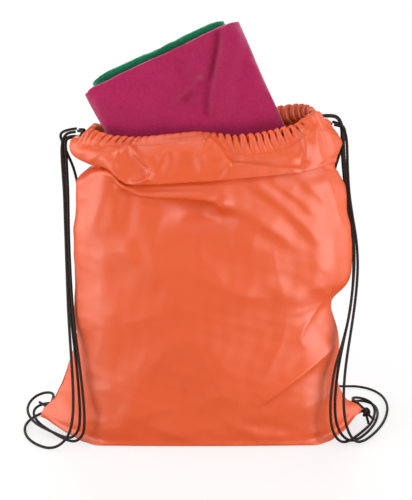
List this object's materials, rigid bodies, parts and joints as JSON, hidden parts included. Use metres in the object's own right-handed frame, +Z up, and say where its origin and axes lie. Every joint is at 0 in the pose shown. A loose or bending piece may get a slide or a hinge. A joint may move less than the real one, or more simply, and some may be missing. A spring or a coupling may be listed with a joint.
{
  "type": "drawstring bag",
  "caption": "Full drawstring bag with looped cords tied at its bottom corners and folded fleece cloths in its mouth.",
  "frame": {"origin": "middle of the flat underside that the bag stands on, on its floor level", "axes": "+Z up; +X to the right as seen from the bag's front; -Y out of the front, towards the viewer"},
  "size_m": [0.4226, 0.2133, 0.4541],
  "materials": {
    "bag_cloth": "plain woven nylon or polyester with a soft sheen",
    "stitching": "sewing thread, matt",
    "cord": "braided polyester, slight sheen",
    "pink_fleece": "napped fleece, matt",
    "green_fleece": "napped fleece, matt"
  },
  "bodies": {
    "bag": {"front_panel": "bag_cloth", "back_panel": "bag_cloth", "left_side_seam": "bag_cloth", "right_side_seam": "bag_cloth", "bottom_seam": "bag_cloth", "front_channel": "bag_cloth", "back_channel": "bag_cloth", "front_channel_stitching": "stitching", "back_channel_stitching": "stitching", "left_drawcord_front_run": "cord", "left_drawcord_back_run": "cord", "right_drawcord_front_run": "cord", "right_drawcord_back_run": "cord", "left_strap_front_strand": "cord", "left_strap_back_strand": "cord", "right_strap_front_strand": "cord", "right_strap_back_strand": "cord", "left_corner_knot": "cord", "right_corner_knot": "cord"},
    "pink_cloth": {"pink_cloth": "pink_fleece"},
    "green_cloth": {"green_cloth": "green_fleece"},
    "left_pull_loop": {"left_pull_loop": "cord"},
    "right_pull_loop": {"right_pull_loop": "cord"}
  },
  "joints": [
    {"name": "pink_cloth_lift", "type": "slide", "parent": "bag", "child": "pink_cloth", "axis": [-0.4305, 0, 0.9026], "range_m": [0, 0.4]},
    {"name": "green_cloth_lift", "type": "slide", "parent": "bag", "child": "green_cloth", "axis": [-0.4305, 0, 0.9026], "range_m": [0, 0.4]},
    {"name": "left_loop_swing", "type": "hinge", "parent": "bag", "child": "left_pull_loop", "pos_m": [-0.1342, 0, 0.337], "axis": [0, 1, 0], "range_deg": [0, 65]},
    {"name": "right_loop_swing", "type": "hinge", "parent": "bag", "child": "right_pull_loop", "pos_m": [0.1434, 0, 0.3444], "axis": [0, -1, 0], "range_deg": [0, 65]}
  ]
}
